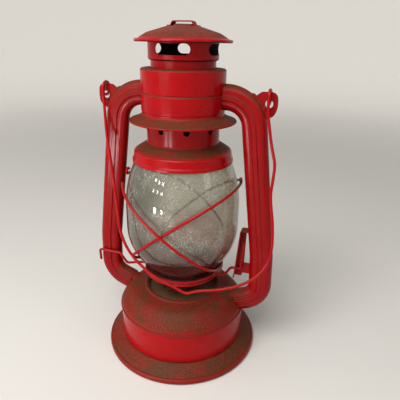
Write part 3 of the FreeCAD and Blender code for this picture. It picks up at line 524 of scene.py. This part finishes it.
springSteel = plainMetal("springWire", springWire)
upperSpring = finish(springHalf("upperSpring", 0.5 + chimneySpring["parting"], 1), springSteel,
                     "frame")
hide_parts("chimney_spring")
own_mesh(upperSpring)
lowerSpring = finish(springHalf("lowerSpring", 0, 0.5 - chimneySpring["parting"]), springSteel,
                     "globe_carrier")
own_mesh(lowerSpring)
print("spring done")


# floor with a sweep all round, and studio lamps, in metres

studio = {
    "rings": (0.001, 0.4, 0.9), "flat": 1.6, "sweep": 1.0, "sweepSteps": 13, "wall": 1.2, "spokes": 96,
    "floor": "#cfcbc4", "matt": 0.9, "shine": 0.2, "paleFrom": 0.35, "paleFull": 2.2, "pale": 0.75,
    "world": "#e8ecf2", "worldLight": 0.22, "aimAt": (0, 0, 0.14),
}


def sweepFloor():
    # a flat disc whose rim bends up through a quarter circle into a wall
    bend = np.linspace(0, np.pi / 2, studio["sweepSteps"])
    radius = np.concatenate([studio["rings"], studio["flat"] + studio["sweep"] * np.sin(bend)])
    height = np.concatenate([0 * np.array(studio["rings"]), studio["sweep"] * (1 - np.cos(bend))])
    radius = np.append(radius, radius[-1])
    height = np.append(height, height[-1] + studio["wall"])
    around = np.linspace(0, 2 * np.pi, studio["spokes"], endpoint=False)[:, None]
    points = np.stack([radius * np.cos(around), radius * np.sin(around), height + 0 * around], -1)
    index = np.arange(points.shape[0] * points.shape[1]).reshape(points.shape[:2])
    return smoothMesh("studioFloor", points.reshape(-1, 3), quads(np.concatenate([index, index[:1]])))


floor = sweepFloor()
# matt studio paint, no gloss; far from the lantern it shows to the eye, in gloss and through glass as
# evenly pale as a lit backdrop, and adds no light of its own
matte, tree = newMaterial("mattePaintFloor")
away = vectors(tree, "LENGTH", put(tree, "TexCoord").outputs["Object"]).outputs["Value"]
backdrop = ramp(tree, away, (studio["paleFrom"], studio["paleFull"]), (0, studio["pale"]), "SMOOTHSTEP")
seen = put(tree, "LightPath")
mirrored = maths(tree, "ADD", seen.outputs["Is Camera Ray"], seen.outputs["Is Glossy Ray"])
through = maths(tree, "ADD", mirrored, seen.outputs["Is Transmission Ray"], clamp=True)
shader = put(tree, "BsdfPrincipled", {
    "Base Color": linear(studio["floor"]), "Roughness": studio["matt"],
    "Specular IOR Level": studio["shine"], "Emission Color": linear(studio["floor"]),
    "Emission Strength": maths(tree, "MULTIPLY", backdrop, through)})
put(tree, "OutputMaterial", {"Surface": shader.outputs[0]})
floor.data.materials.append(matte)

world = bpy.data.worlds.new("studioWorld")
world.use_nodes = True
scene.world = world
background = world.node_tree.nodes["Background"]
background.inputs["Color"].default_value = linear(studio["world"])
background.inputs["Strength"].default_value = studio["worldLight"]

lamps = {   # azimuth, elevation, distance, width, height, watts
    "keyLamp": (-16, 50, 1.3, 0.9, 0.6, 14.5),
    "sideLamp": (-75, 30, 1.4, 0.4, 0.9, 1.6),
    "fillLamp": (72, 30, 1.4, 0.3, 0.9, 1.6),
    "topLamp": (-20, 80, 1.3, 1.0, 0.8, 6),
    "lowLampOne": (-20, -9, 0.62, 0.036, 0.05, 0.5),    # small, close to the floor
    "lowLampTwo": (-34, -9, 0.62, 0.036, 0.05, 0.5),
    "tubeLampOne": (-36, 52, 1.3, 0.5, 0.05, 1.4),      # strips, high up
    "tubeLampTwo": (23, 52, 1.3, 0.5, 0.05, 1.4),
}
# a grid of small lamps, for glints on the glass
glints = {"azimuths": (-22, -31, -40), "elevations": (9, 19), "away": 0.7, "size": 0.04, "watts": 0.1}
for azimuth in glints["azimuths"]:
    for elevation in glints["elevations"]:
        lamps[f"glintLamp{-azimuth}{elevation}"] = (azimuth, elevation, glints["away"], glints["size"],
                                                    glints["size"], glints["watts"])
for lampName, (azimuth, elevation, distance, width, height, watts) in lamps.items():
    lampData = bpy.data.lights.new(lampName, "AREA")
    lampData.shape, lampData.size, lampData.size_y, lampData.energy = "RECTANGLE", width, height, watts
    lamp = bpy.data.objects.new(lampName, lampData)
    turned = aim(azimuth, elevation, 0)
    stand = Vector(studio["aimAt"]) + Vector(turned[:, 2].tolist()) * distance
    lamp.matrix_world = Matrix.Translation(stand) @ Matrix(turned.tolist()).to_4x4()
    lamp.visible_camera = False
    scene.collection.objects.link(lamp)
print("studio set")
